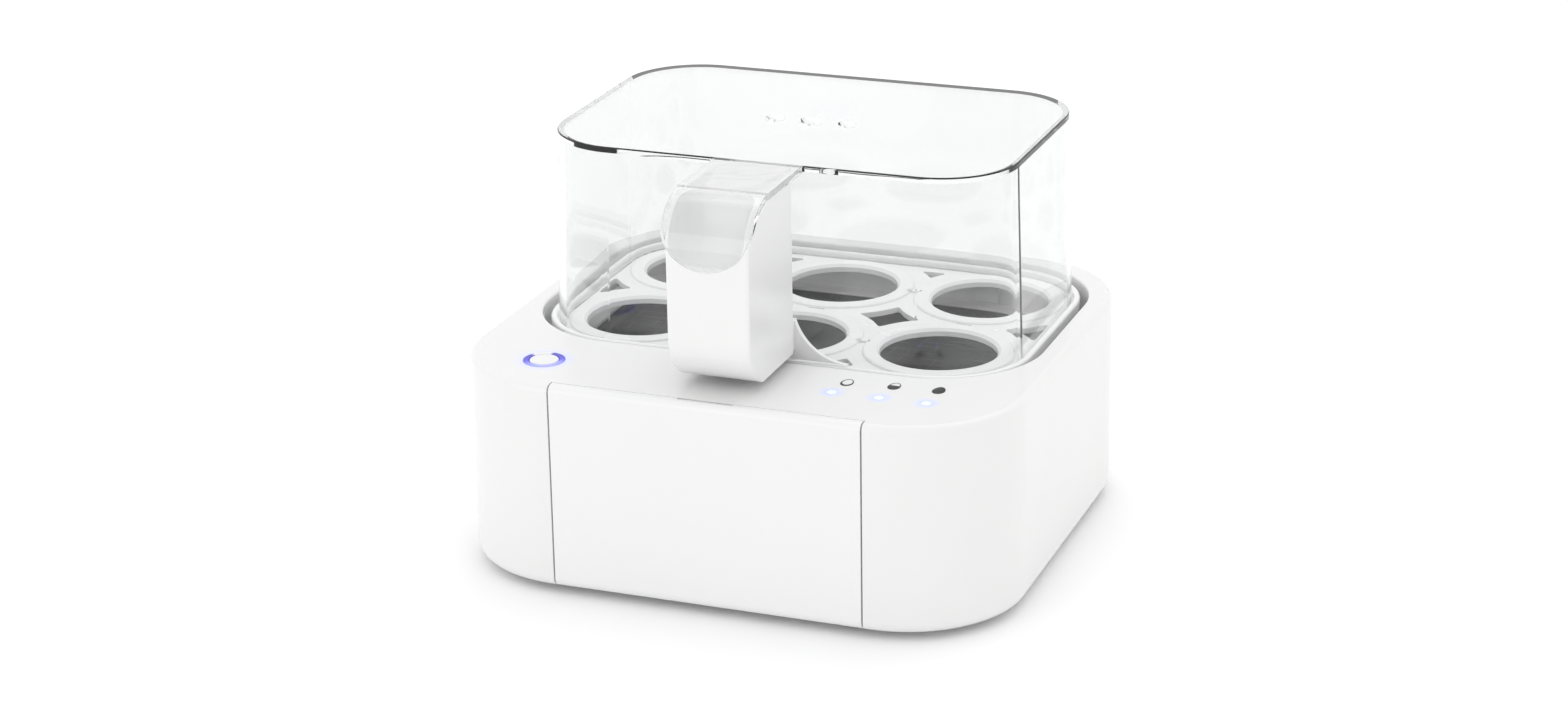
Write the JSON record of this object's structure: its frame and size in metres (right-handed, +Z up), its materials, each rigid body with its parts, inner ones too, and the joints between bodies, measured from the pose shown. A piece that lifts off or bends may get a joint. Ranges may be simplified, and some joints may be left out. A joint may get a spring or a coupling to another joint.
{
  "type": "electric egg cooker",
  "caption": "Rounded white egg cooker: heated water dish, lift-out egg tray, clear vented lid with a solid front handle, lit start button.",
  "frame": {"origin": "centre of the housing's footprint on the table", "axes": "+Z up, -Y to the front with the controls, +X to the right"},
  "size_m": [0.2, 0.184, 0.1451],
  "materials": {
    "white_gloss": "glossy white ABS",
    "white_panel": "glossy white ABS, front panel",
    "white_matte": "matte white polypropylene",
    "clear_plastic": "clear injection-moulded plastic",
    "nonstick": "dark speckled non-stick coating on aluminium",
    "steel": "zinc-plated steel",
    "element_steel": "heat-tinted steel tube",
    "aluminium_can": "aluminium can",
    "ceramic_white": "glazed ceramic",
    "rubber_grey": "soft grey rubber",
    "silicone": "silicone",
    "pcb_green": "solder-masked glass-epoxy board",
    "black_plastic": "black moulded plastic",
    "blue_plastic": "blue moulded plastic",
    "yellow_plastic": "yellow film capacitor case",
    "led_lens": "clear light pipe",
    "ring_light": "translucent light guide lit blue",
    "spring_steel": "spring steel",
    "wire_sleeve": "woven glass sleeve",
    "ribbon_grey": "grey flat cable"
  },
  "bodies": {
    "base": {"housing_shell": "white_gloss", "front_panel": "white_panel", "base_plate": "white_matte", "base_screws": "steel", "foot_front_left": "rubber_grey", "foot_front_right": "rubber_grey", "foot_rear_left": "rubber_grey", "foot_rear_right": "rubber_grey", "well_liner": "white_matte", "dish_seal": "silicone", "heating_dish": "nonstick", "dish_studs": "steel", "clamp_bar_left": "steel", "clamp_bar_right": "steel", "clamp_nuts": "steel", "heater_element": "element_steel", "element_insulators": "ceramic_white", "element_clips": "steel", "thermostat": "black_plastic", "thermostat_bracket": "steel", "thermal_fuse": "aluminium_can", "fuse_clip": "ceramic_white", "control_board": "pcb_green", "control_board_screws": "steel", "control_chip": "black_plastic", "status_leds": "led_lens", "ring_leds": "led_lens", "buzzer": "black_plastic", "tact_switch": "black_plastic", "button_ring": "ring_light", "button_spring": "spring_steel", "power_board": "pcb_green", "power_board_screws": "steel", "relay": "blue_plastic", "film_capacitor": "yellow_plastic", "power_transformer": "black_plastic", "terminal_block": "blue_plastic", "heater_leads": "wire_sleeve", "ribbon_cable": "ribbon_grey", "cable_gland": "black_plastic", "gland_nut": "black_plastic", "led_window_soft": "led_lens", "led_window_medium": "led_lens", "led_window_hard": "led_lens"},
    "start_button": {"button_cap": "white_gloss"},
    "tray": {"egg_tray": "white_gloss"},
    "lid": {"lid_shell": "clear_plastic", "lid_handle": "white_gloss", "handle_screws": "steel"}
  },
  "joints": [
    {"name": "button_press", "type": "slide", "parent": "base", "child": "start_button", "axis": [0, 0, -1], "range_m": [0, 0.001], "stiffness_N_per_m": 500, "springref_m": -0.001, "deforming": ["button_spring"]},
    {"name": "tray_lift", "type": "slide", "parent": "base", "child": "tray", "axis": [0, 0, 1], "range_m": [0, 0.04]},
    {"name": "lid_lift", "type": "slide", "parent": "tray", "child": "lid", "axis": [0, 0, 1], "range_m": [0, 0.09]}
  ]
}
